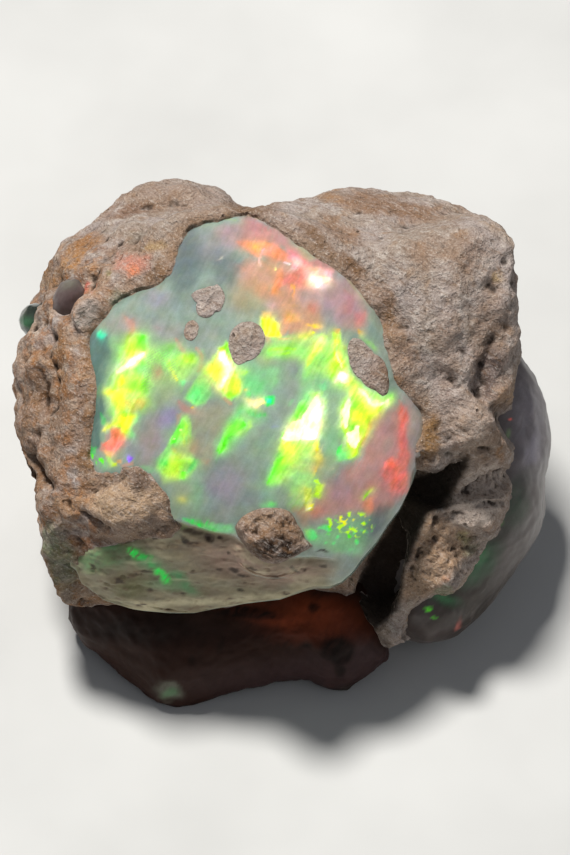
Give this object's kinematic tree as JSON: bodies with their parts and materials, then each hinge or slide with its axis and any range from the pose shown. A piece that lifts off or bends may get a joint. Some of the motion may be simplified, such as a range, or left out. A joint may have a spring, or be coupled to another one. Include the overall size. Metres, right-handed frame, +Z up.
{
  "type": "rough opal",
  "caption": "Rough precious opal in a lump of pale volcanic host rock, broken open to a domed window with play of colour, resting on its flat base.",
  "frame": {"origin": "middle of the stone's box, at the flat base on which it rests", "axes": "+Z up, +X to the right across the opal window, +Y away from its lip towards the back"},
  "size_m": [0.0434, 0.0376, 0.0343],
  "materials": {
    "host_rock": "dry, rough, pale tan to brown volcanic rock",
    "precious_opal": "glossy, milky grey-green, with bright play of colour",
    "common_opal": "waxy, translucent, pinkish grey"
  },
  "bodies": {
    "root": {"host_rock": "host_rock", "opal_window": "precious_opal", "opal_foot": "common_opal", "opal_side": "common_opal", "opal_bead": "precious_opal", "opal_lens": "common_opal", "island_upper": "host_rock", "island_small": "host_rock", "island_centre": "host_rock", "island_right": "host_rock", "island_edge": "host_rock"}
  },
  "joints": []
}
